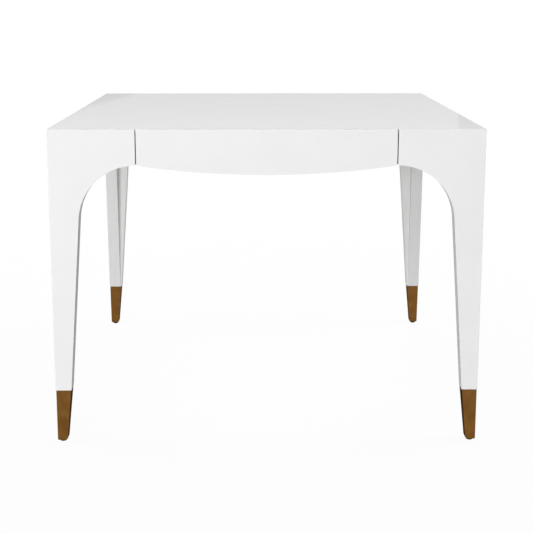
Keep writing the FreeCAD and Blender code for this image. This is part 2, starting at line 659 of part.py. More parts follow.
# ------------------------------------------------------------------ sabots and glides
def draw_sabot_profile(sketch):
    """Sabot from the side: upright outer face, rounded foot, tapering inner face."""
    near = "Sizes.sabot_inset"
    low = "Sizes.glide_height"
    far_foot = f"({near} + {sabot_width(low)})"
    far_rim = f"({near} + {SABOT_TOP})"
    heel_radius = number("Sizes.sabot_outer_round")
    toe_radius = number("Sizes.sabot_inner_round")
    foot_corner = Vector(number(far_foot), number(low), 0)
    near_rim_point = Vector(number(near), number(SHOULDER), 0)
    far_rim_point = Vector(number(far_rim), number(SHOULDER), 0)
    heel_centre = Vector(number(near) + heel_radius, number(low) + heel_radius, 0)
    toe_centre = foot_corner + Vector(-toe_radius, toe_radius, 0)
    heel_side = heel_centre - Vector(heel_radius, 0, 0)
    heel_sole = heel_centre - Vector(0, heel_radius, 0)
    toe_sole = toe_centre - Vector(0, toe_radius, 0)
    toe_side = toe_centre + Vector(toe_radius, 0, 0)
    up = Vector(0, 0, 1)
    upright = sketch.addGeometry(Part.LineSegment(near_rim_point, heel_side))
    heel = sketch.addGeometry(Part.ArcOfCircle(Part.Circle(heel_centre, up, heel_radius), 3.14, 4.71))
    sole = sketch.addGeometry(Part.LineSegment(heel_sole, toe_sole))
    toe = sketch.addGeometry(Part.ArcOfCircle(Part.Circle(toe_centre, up, toe_radius), 4.71, 6.2))
    slope = sketch.addGeometry(Part.LineSegment(toe_side, far_rim_point))
    rim = sketch.addGeometry(Part.LineSegment(far_rim_point, near_rim_point))
    corner = sketch.addGeometry(Part.Point(foot_corner), True)
    sketch.addConstraint([
        Sketcher.Constraint("Tangent", upright, 2, heel, 1),
        Sketcher.Constraint("Tangent", heel, 2, sole, 1),
        Sketcher.Constraint("Tangent", sole, 2, toe, 1),
        Sketcher.Constraint("Tangent", toe, 2, slope, 1),
        Sketcher.Constraint("Coincident", slope, 2, rim, 1),
        Sketcher.Constraint("Coincident", rim, 2, upright, 1),
        Sketcher.Constraint("Vertical", upright),
        Sketcher.Constraint("Horizontal", sole),
        Sketcher.Constraint("PointOnObject", corner, 1, slope),
    ])
    pin_x(sketch, upright, 1, near)
    pin_y(sketch, upright, 1, SHOULDER)
    pin_y(sketch, sole, 1, low)
    pin_x(sketch, rim, 1, far_rim)
    pin_y(sketch, rim, 1, SHOULDER)
    pin_x(sketch, corner, 1, far_foot)
    pin_y(sketch, corner, 1, low)
    bind(sketch, Sketcher.Constraint("Radius", heel, heel_radius), "Sizes.sabot_outer_round")
    bind(sketch, Sketcher.Constraint("Radius", toe, toe_radius), "Sizes.sabot_inner_round")


def make_sabot(name):
    """Hollow brass shoe: the same profile seen from the front and from the side, and a cavity."""
    body = new_body(name)
    reach = f"(2 * {FOOT_WIDTH})"
    front = add_sketch(body, "front", "XZ_Plane")
    draw_sabot_profile(front)
    pad(body, front, reach, reverse=True)
    side = add_sketch(body, "side", "YZ_Plane")
    add_rectangle(side, f"-{FOOT_WIDTH}", f"-{FOOT_WIDTH}", reach, f"2 * {SHOULDER}")
    draw_sabot_profile(side)
    cut_through(body, side)

    near = "(Sizes.sabot_inset + Sizes.sabot_wall)"
    far = f"({near} + {cavity_width(CAVITY_FLOOR)})"
    cavity = add_sketch(body, "cavity", "XY_Plane", CAVITY_FLOOR)
    add_rectangle(cavity, near, near, far, far)
    cut(body, cavity, "Sizes.sabot_height", reverse=True)
    far_now = number(far)
    lean_walls(body, CAVITY_FLOOR, lambda centre: abs(max(centre.x, centre.y) - far_now) < 1e-6,
               "atan(Sizes.sabot_taper / Sizes.sabot_height)")
    drill_through(body, "nail_hole", "XY_Plane", [(FOOT_CENTRE, FOOT_CENTRE)], NAIL_HOLE)
    return body


def make_glide(name):
    """Round moulded glide with a chamfered lower edge and a blind bore for its nail."""
    body = new_body(name)
    rim = "Sizes.glide_diameter / 2"
    disc = add_sketch(body, "disc", "XY_Plane")
    middle = Vector(number(FOOT_CENTRE), number(FOOT_CENTRE), 0)
    circle = disc.addGeometry(Part.Circle(middle, Vector(0, 0, 1), number(rim)))
    pin_x(disc, circle, 3, FOOT_CENTRE)
    pin_y(disc, circle, 3, FOOT_CENTRE)
    bind(disc, Sketcher.Constraint("Radius", circle, number(rim)), rim)
    pad(body, disc, "Sizes.glide_height")
    chamfer_low_edge(body, "Sizes.glide_chamfer")
    cut_holes(body, "nail_bore", "XY_Plane", "Sizes.glide_height", [(FOOT_CENTRE, FOOT_CENTRE)],
              NAIL_HOLE, "Sizes.glide_height - Sizes.nail_start + Sizes.glue_gap")
    return body


# ------------------------------------------------------------------ groups of alike fasteners
def faceted_solid(stations):
    """Eight-sided solid about Z through (corner radius, height) stations, which may end in a point."""
    rings = []
    for radius, height in stations:
        corners = [math.radians(angle) for angle in range(0, 360, 45)]
        rings.append([Vector(radius * math.cos(a), radius * math.sin(a), height) for a in corners])
    outlines = [rings[0][::-1]]
    if stations[-1][0] > 0:
        outlines.append(rings[-1])
    for (lower, upper), (radius, _) in zip(zip(rings, rings[1:]), stations[1:]):
        for index in range(8):
            following = (index + 1) % 8
            outline = [lower[index], lower[following], upper[following], upper[index]]
            outlines.append(outline if radius > 0 else outline[:3])
    faces = [Part.Face(Part.makePolygon(outline + outline[:1])) for outline in outlines]
    shell = Part.makeShell(faces)
    shell.sewShape()
    return Part.makeSolid(shell)


def make_screw(length):
    """Wood screw along +Z, its head's underside at the origin."""
    shank = number("Sizes.screw_diameter") / 2
    head = number("Sizes.screw_head_diameter") / 2
    head_height = number("Sizes.screw_head_height")
    tip = number("Sizes.screw_tip_length")
    return faceted_solid([(head, -head_height), (head, 0), (shank, 0), (shank, length - tip), (0, length)])


def make_group(name, solid, placements):
    """One node that holds a copy of the solid at each placement."""
    copies = []
    for placement in placements:
        copy = solid.copy()
        copy.Placement = placement.multiply(copy.Placement)
        copies.append(copy)
    group = document.addObject("Part::Feature", name)
    group.Label = name
    group.Shape = Part.makeCompound(copies)
    group.Placement = FreeCAD.Placement()


def heading(x, y, z, direction):
    """Placement at a point whose Z runs in a direction."""
    return FreeCAD.Placement(Vector(x, y, z), FreeCAD.Rotation(Vector(0, 0, 1), direction))


def make_dowels():
    """Two dowels in each joint between an apron panel and a leg board."""
    radius = number("Sizes.dowel_diameter / 2")
    length = number("Sizes.dowel_length")
    placements = []
    for _, side_size, frame in side_frames():
        side = placement_now(frame)
        joint = number(half_apron(side_size))
        for start in (joint - length / 2, -joint - length / 2):
            for height in DOWEL_HEIGHTS:
                local = heading(start, number(DOWEL_Y), number(height), Vector(1, 0, 0))
                placements.append(side.multiply(local))
    make_group("apron_dowels", faceted_solid([(radius, 0), (radius, length)]), placements)


def make_rail_screws():
    """Four screws from each backing rail into the boards in front of it."""
    placements = []
    for _, side_size, frame in side_frames():
        side = placement_now(frame)
        for station in rail_screw_stations(side_size):
            local = heading(number(station), number(RAIL_BACK), number(RAIL_CENTRE_Z), Vector(0, -1, 0))
            placements.append(side.multiply(local))
    make_group("rail_screws", make_screw(number("Sizes.rail_screw_length")), placements)


def make_upright_screws(name, points, underside, length):
    """Screws driven straight up at the points, their heads under a level face."""
    height = number(underside)
    placements = [heading(number(x), number(y), height, Vector(0, 0, 1)) for x, y in points]
    make_group(name, make_screw(number(length)), placements)


def make_block_screws():
    """Two screws from each corner block, one into each of the boards it meets."""
    seat = number(f"{THICKNESS} + Sizes.block_seat_depth")
    along = number(BLOCK_SCREW)
    height = number(BLOCK_CENTRE_Z)
    placements = []
    for _, frame in corner_frames():
        corner = placement_now(frame)
        placements.append(corner.multiply(heading(along, seat, height, Vector(0, -1, 0))))
        placements.append(corner.multiply(heading(seat, along, height, Vector(-1, 0, 0))))
    make_group("corner_block_screws", make_screw(number("Sizes.block_screw_length")), placements)


def make_glide_nails():
    """Nail from inside each glide up through the floor of its sabot into the tenon."""
    radius = number("Sizes.nail_diameter") / 2
    length = number("Sizes.nail_length")
    tip = number("Sizes.nail_tip_length")
    foot = number(FOOT_CENTRE)
    start = number("Sizes.nail_start")
    placements = []
    for _, frame in corner_frames():
        placements.append(placement_now(frame).multiply(heading(foot, foot, start, Vector(0, 0, 1))))
    make_group("glide_nails", faceted_solid([(radius, 0), (radius, length - tip), (0, length)]), placements)


# ------------------------------------------------------------------ the whole table
def make_table():
    """Every piece of the table, placed."""
    make_tabletop()
    for corner, frame in corner_frames():
        for maker, piece in ((make_corner_block, "corner_block"), (make_leg_spline, "leg_spline"),
                             (make_sabot, "sabot"), (make_glide, "glide")):
            place(maker(f"{corner}_{piece}"), frame)
    for (side, side_size, side_frame), (_, corner_frame) in zip(side_frames(), corner_frames()):
        board_name, mirrored_name, normal = LEG_BOARDS[side]
        board = make_leg_board(board_name)
        place(board, corner_frame)
        make_mirrored_board(mirrored_name, board, normal)
        place(make_apron(f"{side}_apron", side_size), side_frame)
        place(make_backing_rail(f"{side}_backing_rail", side_size), side_frame)
    make_batten("left_batten", "-")
    make_batten("right_batten", "+")

    make_dowels()
    make_rail_screws()
    rail_underside = f"{TOP_UNDERSIDE} - Sizes.rail_height"
    make_upright_screws("top_screws", top_screw_points(), rail_underside, "Sizes.top_screw_length")
    batten_underside = f"{TOP_UNDERSIDE} - Sizes.batten_thickness"
    make_upright_screws("batten_screws", batten_screw_points(), batten_underside,
                        "Sizes.batten_screw_length")
    make_block_screws()
    make_glide_nails()


def check_features():
    """Stop on a failed feature, and on a cut that takes nothing away."""
    for feature in document.Objects:
        for fault in ("Invalid", "Error"):
            if fault in feature.State:
                raise RuntimeError(f"{feature.Name} is {fault}")
        if feature.TypeId == "PartDesign::Pocket":
            removed = feature.BaseFeature.Shape.Volume - feature.Shape.Volume
            if removed < 1e-3:
                raise RuntimeError(f"{feature.Name} cuts nothing")


def is_piece(feature):
    """True for the objects that are whole pieces or groups of alike pieces."""
    return feature.TypeId in ("PartDesign::Body", "Part::Mirroring", "Part::Feature")


def export_pieces():
    """Write each piece to its own STEP file."""
    os.makedirs("parts", exist_ok=True)
    for piece in filter(is_piece, document.Objects):
        shape = piece.Shape
        if shape.isNull() or not shape.isValid():
            raise RuntimeError(f"{piece.Label} has no valid shape")
        shape.exportStep(f"parts/{piece.Label}.step")
        print(f"{piece.Label:32s} {len(shape.Solids):3d} solids {shape.Volume / 1000:9.1f} cm3")


make_table()
document.recompute()
check_features()
export_pieces()
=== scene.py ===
"""Square parsons dining table in gloss white lacquer, on antique brass sabots.

Everything is in metres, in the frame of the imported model: origin on the floor under the middle
of the top, +X to the right, +Y to the back, +Z up. The front of the table faces -Y.
"""
import math

import bmesh
import bpy
from mathutils import Matrix, Vector


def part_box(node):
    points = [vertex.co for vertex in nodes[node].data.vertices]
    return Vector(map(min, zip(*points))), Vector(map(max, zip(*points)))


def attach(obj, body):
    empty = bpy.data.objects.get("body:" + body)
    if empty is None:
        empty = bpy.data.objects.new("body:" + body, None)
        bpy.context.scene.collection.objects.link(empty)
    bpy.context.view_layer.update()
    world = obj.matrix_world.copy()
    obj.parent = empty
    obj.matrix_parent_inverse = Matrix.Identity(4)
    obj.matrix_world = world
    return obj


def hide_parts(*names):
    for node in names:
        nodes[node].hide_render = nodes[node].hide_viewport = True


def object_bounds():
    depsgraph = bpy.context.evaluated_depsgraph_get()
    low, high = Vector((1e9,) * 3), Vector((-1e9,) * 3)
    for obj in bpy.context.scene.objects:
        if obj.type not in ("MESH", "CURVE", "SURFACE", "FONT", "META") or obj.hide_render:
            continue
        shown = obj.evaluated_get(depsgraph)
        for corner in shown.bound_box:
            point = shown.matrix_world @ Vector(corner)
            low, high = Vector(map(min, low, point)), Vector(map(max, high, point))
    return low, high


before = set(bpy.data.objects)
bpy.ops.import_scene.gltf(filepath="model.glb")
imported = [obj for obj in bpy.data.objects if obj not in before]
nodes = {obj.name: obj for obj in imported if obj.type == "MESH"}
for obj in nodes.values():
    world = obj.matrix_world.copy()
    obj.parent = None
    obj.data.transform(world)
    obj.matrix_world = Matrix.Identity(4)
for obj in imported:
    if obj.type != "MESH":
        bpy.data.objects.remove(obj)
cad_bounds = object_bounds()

MM = 0.001
# Points of a CAD mesh that lie closer than this are one point.
TOUCH = 0.01 * MM

# Middle of a side to the joint between its apron panel and a leg, where the reveal is.
REVEAL = 0.305
# Depth of the reveal's floor behind the face of the board.
REVEAL_DEPTH = 12 * MM
# Walls and floor of a reveal all lie within this distance of the joint.
REVEAL_REACH = 3 * MM
# Height at which the joint's edges start to round into the arch and the bow.
REVEAL_FOOT = 0.680
# On the boards, edges that are both above this height and this short belong to bores.
BORES_FROM = 0.69
BORE_EDGE = 4 * MM
# Points this close to the plane of a board's face lie in the face.
IN_PLANE = 0.05 * MM

# Rounding of the table's outer arrises, and of each board's own edges.
ARRIS_RADIUS = 1.5 * MM
BOARD_EASING = 0.5 * MM
# Rounding of a sabot's worn edges, and of its rim.
SABOT_RUB = 1.6 * MM
RIM_EASING = 0.6 * MM
# The rim's outer edge is farther than this from the sabot's middle, and its inner edge is nearer.
RIM_REACH = 16.5 * MM

# Places of the finishes and the reveals' painted shade in a lacquered piece's material slots. The top has
# only the first two.
POLISHED, SATIN, REVEAL_SHADE = 0, 1, 2


# ------------------------------------------------------------------ colours and nodes
def srgb(code):
    """sRGB hex to a linear RGBA colour."""
    channels = [int(code[i:i + 2], 16) / 255 for i in (1, 3, 5)]
    linear = [c / 12.92 if c <= 0.04045 else ((c + 0.055) / 1.055) ** 2.4 for c in channels]
    return (*linear, 1.0)


def add(tree, kind, settings=None, links=None):
    """Add a node, set its properties or its inputs, and link its inputs, by name or by number."""
    node = tree.nodes.new(kind)
    for key, value in (settings or {}).items():
        if isinstance(key, str) and hasattr(node, key):
            setattr(node, key, value)
        else:
            node.inputs[key].default_value = value
    for key, source in (links or {}).items():
        tree.links.new(source, node.inputs[key])
    return node


def new_material(name):
    """Empty node material, its tree, and the place on the piece that its patterns read."""
    material = bpy.data.materials.new(name)
    material.use_nodes = True
    tree = material.node_tree
    tree.nodes.clear()
    return material, tree, add(tree, "ShaderNodeTexCoord").outputs["Object"]


# ------------------------------------------------------------------ materials
def white_lacquer():
    """Polyurethane lacquer, sprayed, flatted and polished to a high gloss.

    The eye reads it by its clean white and its sharp reflections, by the slow ripple of the
    sprayed film in them, and by the faint haze that polishing leaves in the gloss.
    """
    material, tree, place = new_material("white_polyurethane_lacquer_sprayed_and_polished")
    # Orange peel of a sprayed film, 6 mm from crest to crest, a few micrometres high.
    peel = add(tree, "ShaderNodeTexNoise", {"Scale": 1 / (6 * MM), "Detail": 1.5}, {"Vector": place})
    # Slow unevenness of the flatted ground, 90 mm across.
    ground = add(tree, "ShaderNodeTexNoise", {"Scale": 1 / (90 * MM), "Detail": 1.0}, {"Vector": place})
    ripple = add(tree, "ShaderNodeBump", {"Strength": 0.25, "Distance": 0.02 * MM},
                 {"Height": peel.outputs["Fac"]})
    sag = add(tree, "ShaderNodeBump", {"Strength": 0.15, "Distance": 0.25 * MM},
              {"Height": ground.outputs["Fac"], "Normal": ripple.outputs["Normal"]})
    # Haze from polishing, in patches as wide as the track of the polishing pad, 60 mm.
    haze = add(tree, "ShaderNodeTexNoise", {"Scale": 1 / (60 * MM), "Detail": 3.0}, {"Vector": place})
    rough = add(tree, "ShaderNodeMapRange", {"To Min": 0.02, "To Max": 0.06},
                {"Value": haze.outputs["Fac"]})
    # The film is a shade thinner on the ground's crests.
    thin = add(tree, "ShaderNodeMapRange", {"From Min": 0.3, "From Max": 0.7},
               {"Value": ground.outputs["Fac"]})
    tone = add(tree, "ShaderNodeMixRGB", {"Color1": srgb("#EEEEEE"), "Color2": srgb("#F0F0F0")},
               {"Fac": thin.outputs["Result"]})
    shader = add(tree, "ShaderNodeBsdfPrincipled", {"IOR": 1.5}, {
        "Base Color": tone.outputs["Color"], "Roughness": rough.outputs["Result"],
        "Normal": sag.outputs["Normal"]})
    add(tree, "ShaderNodeOutputMaterial", links={"Surface": shader.outputs["BSDF"]})
    return material


def satin_lacquer():
    """The same lacquer as it comes off the gun, on edges and inner faces that no pad polishes.

    It gives the eye a soft white without mirror images, pebbled by the spray, and a shade greyer
    than the show faces: painted shade on the inner faces and the underside that it covers.
    """
    material, tree, place = new_material("white_polyurethane_lacquer_unpolished_with_painted_shade")
    # Orange peel of a sprayed film, 4 mm from crest to crest.
    peel = add(tree, "ShaderNodeTexNoise", {"Scale": 1 / (4 * MM), "Detail": 2.0}, {"Vector": place})
    # Coats of uneven thickness, in patches of 50 mm.
    coat = add(tree, "ShaderNodeTexNoise", {"Scale": 1 / (50 * MM), "Detail": 2.0}, {"Vector": place})
    # Both tones sit a shade under the polished white: painted shade for the inner faces and the underside.
    tone = add(tree, "ShaderNodeMixRGB", {"Color1": srgb("#E9E9E9"), "Color2": srgb("#EDEDED")},
               {"Fac": coat.outputs["Fac"]})
    rough = add(tree, "ShaderNodeMapRange", {"To Min": 0.42, "To Max": 0.58},
                {"Value": peel.outputs["Fac"]})
    pebbles = add(tree, "ShaderNodeBump", {"Strength": 0.35, "Distance": 0.04 * MM},
                  {"Height": peel.outputs["Fac"]})
    shader = add(tree, "ShaderNodeBsdfPrincipled", {"IOR": 1.5, "Specular IOR Level": 0.3}, {
        "Base Color": tone.outputs["Color"], "Roughness": rough.outputs["Result"],
        "Normal": pebbles.outputs["Normal"]})
    add(tree, "ShaderNodeOutputMaterial", links={"Surface": shader.outputs["BSDF"]})
    return material


def reveal_painted_shade():
    """Dark grey in the narrow reveals: painted shade for the shadow deep in each reveal, whose real walls are
    lacquered white.

    It gives the eye the dark, dull line that sets each apron panel off from its legs.
    """
    material, tree, place = new_material("reveal_dark_grey_painted_shade")
    # Fine grain in the painted shade, 0.5 mm grains.
    grain = add(tree, "ShaderNodeTexNoise", {"Scale": 1 / (0.5 * MM), "Detail": 2.0}, {"Vector": place})
    tone = add(tree, "ShaderNodeMixRGB", {"Color1": srgb("#2E2E2E"), "Color2": srgb("#3E3E3E")},
               {"Fac": grain.outputs["Fac"]})
    dust = add(tree, "ShaderNodeBump", {"Strength": 0.4, "Distance": 0.05 * MM},
               {"Height": grain.outputs["Fac"]})
    shader = add(tree, "ShaderNodeBsdfPrincipled", {"Roughness": 0.75, "IOR": 1.5}, {
        "Base Color": tone.outputs["Color"], "Normal": dust.outputs["Normal"]})
    add(tree, "ShaderNodeOutputMaterial", links={"Surface": shader.outputs["BSDF"]})
    return material


def bare_wood(name, pale, dark, grain_mm, roughness, stretch):
    """Wood left bare after the plane or the saw, its grain lines drawn out along one axis.

    It gives the eye soft brown streaks along the piece, their colour shifting from board to
    board, and the dull, slightly furred surface that an unfinished piece has under a table.
    """
    material, tree, place = new_material(name)
    along = add(tree, "ShaderNodeMapping", {"Scale": stretch}, {"Vector": place})
    grain = add(tree, "ShaderNodeTexNoise", {"Scale": 1 / (grain_mm * MM), "Detail": 4.0, "Distortion": 0.3},
                {"Vector": along.outputs["Vector"]})
    # Heartwood runs through in bands of 60 mm.
    band = add(tree, "ShaderNodeTexNoise", {"Scale": 1 / (60 * MM), "Detail": 1.0},
               {"Vector": along.outputs["Vector"]})
    both = add(tree, "ShaderNodeMath", {"operation": "MULTIPLY_ADD", 1: 0.6},
               {0: grain.outputs["Fac"], 2: band.outputs["Fac"]})
    streak = add(tree, "ShaderNodeMapRange", {"From Min": 0.55, "From Max": 1.05},
                 {"Value": both.outputs["Value"]})
    tone = add(tree, "ShaderNodeMixRGB", {"Color1": srgb(dark), "Color2": srgb(pale)},
               {"Fac": streak.outputs["Result"]})
    fibre = add(tree, "ShaderNodeBump", {"Strength": 0.4, "Distance": 0.1 * MM},
                {"Height": grain.outputs["Fac"]})
    shader = add(tree, "ShaderNodeBsdfPrincipled", {"Roughness": roughness, "IOR": 1.5},
                 {"Base Color": tone.outputs["Color"], "Normal": fibre.outputs["Normal"]})
    add(tree, "ShaderNodeOutputMaterial", links={"Surface": shader.outputs["BSDF"]})
    return material


def antique_brass():
    """Cast brass, brushed lengthwise and chemically browned.

    It gives the eye a warm brown metal with fine upright brush lines and a satin sheen across
    them, cloudy where the patina took unevenly, and dark at a glancing angle, where the eye
    looks through more of the brown film.
    """
    material, tree, place = new_material("cast_brass_brushed_and_browned")
    along = add(tree, "ShaderNodeMapping", {"Scale": (1.0, 1.0, 0.012)}, {"Vector": place})
    # Brush lines 0.5 mm apart, drawn coarser than the real 0.1 mm so that they show.
    brush = add(tree, "ShaderNodeTexNoise", {"Scale": 1 / (0.5 * MM), "Detail": 2.0},
                {"Vector": along.outputs["Vector"]})
    # Clouds of brown patina, 25 mm across.
    patina = add(tree, "ShaderNodeTexNoise", {"Scale": 1 / (25 * MM), "Detail": 4.0}, {"Vector": place})
    cloud = add(tree, "ShaderNodeMapRange", {"From Min": 0.3, "From Max": 0.7},
                {"Value": patina.outputs["Fac"]})
    tone = add(tree, "ShaderNodeMixRGB", {"Color1": srgb("#704B23"), "Color2": srgb("#825C2E")},
               {"Fac": cloud.outputs["Result"]})
    # The brown stays thicker in the furrows that the brush left.
    furrow = add(tree, "ShaderNodeMapRange", {"From Min": 0.4, "From Max": 0.7, "To Max": 0.24},
                 {"Value": brush.outputs["Fac"]})
    lined = add(tree, "ShaderNodeMixRGB", {"Color2": srgb("#553512")},
                {"Fac": furrow.outputs["Result"], "Color1": tone.outputs["Color"]})
    rough = add(tree, "ShaderNodeMapRange", {"To Min": 0.28, "To Max": 0.42},
                {"Value": brush.outputs["Fac"]})
    lines = add(tree, "ShaderNodeBump", {"Strength": 0.4, "Distance": 0.08 * MM},
                {"Height": brush.outputs["Fac"]})
    shader = add(tree, "ShaderNodeBsdfPrincipled", {"Metallic": 1.0, "Specular Tint": srgb("#5A3A18")}, {
        "Base Color": lined.outputs["Color"], "Roughness": rough.outputs["Result"],
        "Normal": lines.outputs["Normal"]})
    add(tree, "ShaderNodeOutputMaterial", links={"Surface": shader.outputs["BSDF"]})
    return material


def black_nylon():
    """Nylon, injection moulded in a spark-eroded mould.

    It gives the eye a flat black with a faint grain and no bright highlight.
    """
    material, tree, place = new_material("black_nylon_injection_moulded")
    # Spark-eroded mould texture, 0.8 mm grains.
    grain = add(tree, "ShaderNodeTexNoise", {"Scale": 1 / (0.8 * MM), "Detail": 2.0}, {"Vector": place})
    tone = add(tree, "ShaderNodeMixRGB", {"Color1": srgb("#050505"), "Color2": srgb("#121212")},
               {"Fac": grain.outputs["Fac"]})
    bump = add(tree, "ShaderNodeBump", {"Strength": 0.3, "Distance": 0.05 * MM},
               {"Height": grain.outputs["Fac"]})
    shader = add(tree, "ShaderNodeBsdfPrincipled", {"Roughness": 0.6, "IOR": 1.5, "Specular IOR Level": 0.3},
                 {"Base Color": tone.outputs["Color"], "Normal": bump.outputs["Normal"]})
    add(tree, "ShaderNodeOutputMaterial", links={"Surface": shader.outputs["BSDF"]})
    return material


def zinc_steel():
    """Steel, cold headed and zinc plated.

    It gives the eye a pale, slightly mottled metal sheen on the heads of the screws.
    """
    material, tree, place = new_material("steel_cold_headed_and_zinc_plated")
    # Mottle of the passivated zinc, 1.5 mm across.
    mottle = add(tree, "ShaderNodeTexNoise", {"Scale": 1 / (1.5 * MM), "Detail": 2.0}, {"Vector": place})
    tone = add(tree, "ShaderNodeMixRGB", {"Color1": srgb("#B0B2B5"), "Color2": srgb("#CACCCD")},
               {"Fac": mottle.outputs["Fac"]})
    rough = add(tree, "ShaderNodeMapRange", {"To Min": 0.25, "To Max": 0.4},
                {"Value": mottle.outputs["Fac"]})
    shader = add(tree, "ShaderNodeBsdfPrincipled", {"Metallic": 1.0},
                 {"Base Color": tone.outputs["Color"], "Roughness": rough.outputs["Result"]})
    add(tree, "ShaderNodeOutputMaterial", links={"Surface": shader.outputs["BSDF"]})
    return material


def dress(names, material):
    """Give CAD nodes a finished material."""
    for name in names:
        slots = nodes[name].data.materials
        slots.clear()
        slots.append(material)


# ------------------------------------------------------------------ pieces
def merged_copy(name):
    """Copy of a CAD node, its triangles merged back into whole faces."""
    shape = bmesh.new()
    shape.from_mesh(nodes[name].data)
    bmesh.ops.remove_doubles(shape, verts=shape.verts, dist=TOUCH)
    bmesh.ops.dissolve_limit(shape, angle_limit=math.radians(0.5), verts=shape.verts, edges=shape.edges)
    return shape


def add_piece(name, shape, materials, slot, *replaced):
    """Make a finished shape a piece that rides with the table and stands for CAD nodes."""
    bmesh.ops.recalc_face_normals(shape, faces=shape.faces)
    mesh = bpy.data.meshes.new(name)
    shape.to_mesh(mesh)
    shape.free()
    mesh.shade_smooth()
    mesh.set_sharp_from_angle(angle=math.radians(35))
    for material in materials:
        mesh.materials.append(material)
    piece = bpy.data.objects.new(name, mesh)
    bpy.context.scene.collection.objects.link(piece)
    # Broad flat faces keep their own normals, and only the eased edges shade round.
    weighting = piece.modifiers.new("flat_faces_stay_flat", "WEIGHTED_NORMAL")
    weighting.keep_sharp = True
    weighting.weight = 100
    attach(piece, "root")
    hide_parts(*replaced)


def cut_off(shape, place, outward):
    """Cut away what lies beyond a plane and close the cut."""
    everything = shape.verts[:] + shape.edges[:] + shape.faces[:]
    cut = bmesh.ops.bisect_plane(shape, geom=everything, dist=1e-7, plane_co=place, plane_no=outward,
                                 clear_outer=True)
    rim = [item for item in cut["geom_cut"] if isinstance(item, bmesh.types.BMEdge) and item.is_boundary]
    if rim:
        bmesh.ops.edgenet_fill(shape, edges=rim)


def round_shared_arrises(shape):
    """Round the table's upright and upper arrises, where mitred boards meet, in three flats."""
    low, high = cad_bounds
    arrises = [(Vector((x, 0, 0)), Vector((0, y, 0))) for x in (-1, 1) for y in (-1, 1)]
    for outward in (Vector((-1, 0, 0)), Vector((1, 0, 0)), Vector((0, -1, 0)), Vector((0, 1, 0))):
        arrises.append((outward, Vector((0, 0, 1))))
    for first, second in arrises:
        corner = Vector([high[i] if (first + second)[i] > 0 else low[i] for i in range(3)])
        centre = corner - ARRIS_RADIUS * (first + second)
        for angle in (22.5, 45, 67.5):
            outward = math.cos(math.radians(angle)) * first + math.sin(math.radians(angle)) * second
            cut_off(shape, centre + ARRIS_RADIUS * outward, outward)


def ease(shape, edges, width, segments):
    """Round edges over a width."""
    bmesh.ops.bevel(shape, geom=edges, offset=width, offset_type="OFFSET", segments=segments, profile=0.5,
                    affect="EDGES", material=-1, clamp_overlap=True)


def face_arrises(shape, axis):
    """Square edges round the outer and the inner face of a board that is thin along an axis."""
    places = [vert.co[axis] for vert in shape.verts]
    picked = []
    for edge in shape.edges:
        in_a_face = any(all(abs(vert.co[axis] - level) < IN_PLANE for vert in edge.verts)
                        for level in (min(places), max(places)))
        is_bore = edge.calc_length() < BORE_EDGE and edge.verts[0].co.z > BORES_FROM
        if in_a_face and edge.is_manifold and not is_bore:
            if math.radians(60) < edge.calc_face_angle() < math.radians(120):
                picked.append(edge)
    return picked


def finish_faces(shape, middle, axis):
    """Polish the outer faces of a board, give the walls and floor of its reveals dark painted shade, and
    leave the rest satin.

    The board is thin along axis. Its outer faces look up, or to a side that its middle lies towards.
    """
    along = 1 - axis
    outside = [math.copysign(1, middle[i]) if abs(middle[i]) > REVEAL / 2 else 0 for i in (0, 1)] + [1]
    for face in shape.faces:
        centre = face.calc_center_median()
        near_joint = abs(abs(centre[along]) - REVEAL) < REVEAL_REACH and centre.z > REVEAL_FOOT
        depth = cad_bounds[1][axis] - abs(centre[axis])
        # Walls look at least partly along the side, and the floor looks straight out of it.
        is_wall = abs(face.normal[along]) > 0.3
        is_floor = abs(face.normal[axis]) > 0.99 and abs(depth - REVEAL_DEPTH) < 1 * MM
        if near_joint and (is_wall or is_floor):
            # The reveals' walls and floor get dark painted shade, not a finish.
            face.material_index = REVEAL_SHADE
        # A tenth takes in the eased arrises round the outer faces too.
        elif max(outside[i] * face.normal[i] for i in range(3)) > 0.1:
            face.material_index = POLISHED
        else:
            face.material_index = SATIN


def make_white_board(name, finishes):
    """Lacquered board or panel with its arrises eased."""
    shape = merged_copy(name)
    lows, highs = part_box(name)
    axis = 0 if highs.x - lows.x < highs.y - lows.y else 1
    round_shared_arrises(shape)
    ease(shape, face_arrises(shape, axis), width=BOARD_EASING, segments=2)
    bmesh.ops.recalc_face_normals(shape, faces=shape.faces)
    finish_faces(shape, (lows + highs) / 2, axis)
    add_piece(f"{name}_lacquered", shape, finishes, "white_lacquer", name)


def make_tabletop(finishes):
    """Lacquered top, satin underneath, its arrises rounded with those of the boards below."""
    shape = merged_copy("tabletop")
    round_shared_arrises(shape)
    bmesh.ops.recalc_face_normals(shape, faces=shape.faces)
    for face in shape.faces:
        # Only the underside and the mitres, which sit on the boards, look down.
        face.material_index = SATIN if face.normal.z < -0.1 else POLISHED
    add_piece("tabletop_lacquered", shape, finishes, "white_lacquer", "tabletop")


def make_sabot(name, material):
    """Brass shoe with its upright and curved edges rubbed round, and its rim eased."""
    shape = merged_copy(name)
    rim_height = max(vert.co.z for vert in shape.verts)
    # Sharp outer edges that aren't level.
    steep = [edge for edge in shape.edges
             if edge.is_manifold and edge.is_convex and edge.calc_face_angle() > math.radians(25)
             and abs(edge.verts[0].co.z - edge.verts[1].co.z) > 0.1 * MM]
    ease(shape, steep, width=SABOT_RUB, segments=3)
    lows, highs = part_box(name)
    centre = (lows + highs) / 2
    rim = [edge for edge in shape.edges
           if all(abs(vert.co.z - rim_height) < TOUCH
                  and max(abs(vert.co.x - centre.x), abs(vert.co.y - centre.y)) > RIM_REACH
                  for vert in edge.verts)]
    ease(shape, rim, width=RIM_EASING, segments=2)
    bmesh.ops.dissolve_degenerate(shape, dist=0.001 * MM, edges=shape.edges)
    add_piece(f"{name}_rubbed", shape, [material], "antique_brass", name)


